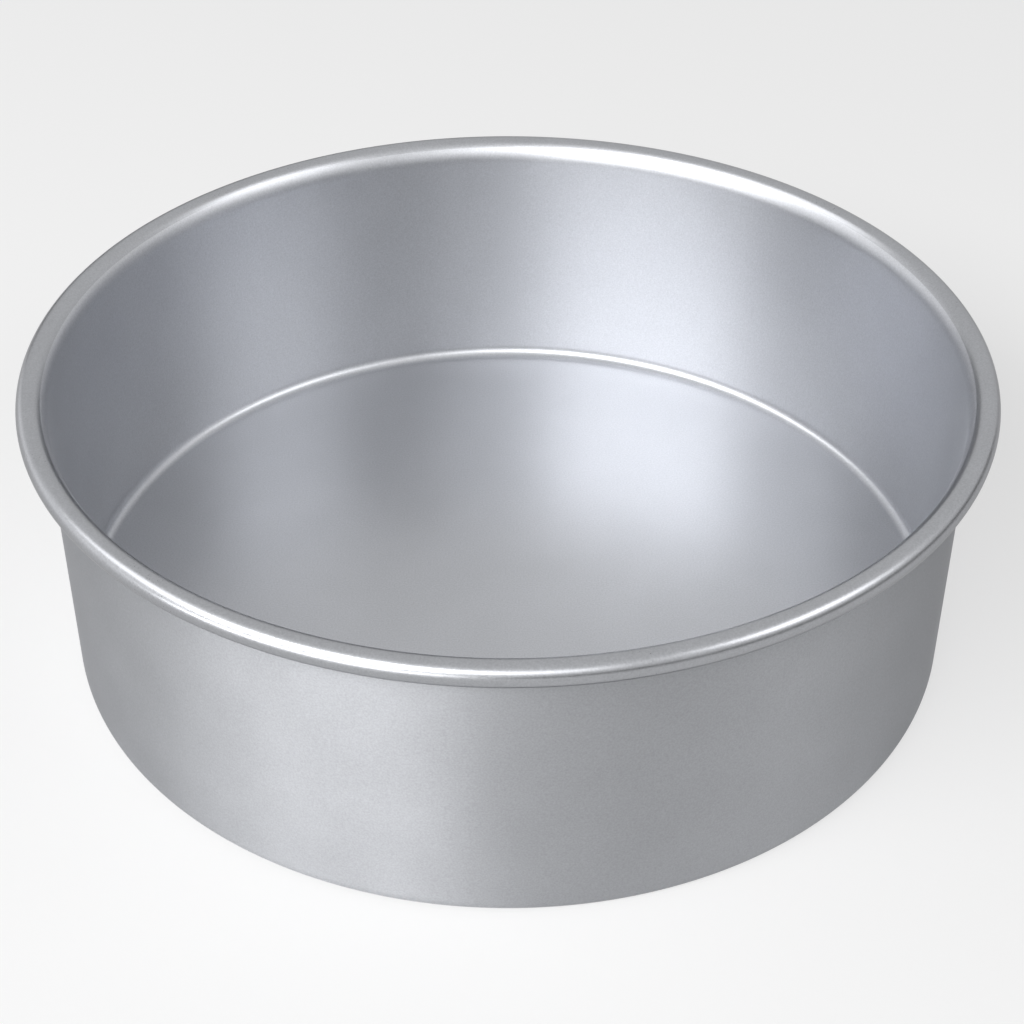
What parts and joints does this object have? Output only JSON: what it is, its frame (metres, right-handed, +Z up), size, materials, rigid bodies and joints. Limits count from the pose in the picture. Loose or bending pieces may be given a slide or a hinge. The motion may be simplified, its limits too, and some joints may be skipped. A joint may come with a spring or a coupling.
{
  "type": "round cake tin",
  "caption": "Deep round cake tin with straight upright sides, a flat base on a low foot and a rim rolled outwards round a wire.",
  "frame": {"origin": "middle of the plane that the tin stands on", "axes": "+Z up along the axis of the round wall, towards the open mouth; the picture looks along +Y, with +X to the right"},
  "size_m": [0.2434, 0.2434, 0.0786],
  "materials": {
    "pan": "satin, fine even grain",
    "wire": "plain drawn wire"
  },
  "bodies": {
    "root": {"pan_body": "pan", "rim_wire": "wire"}
  },
  "joints": []
}
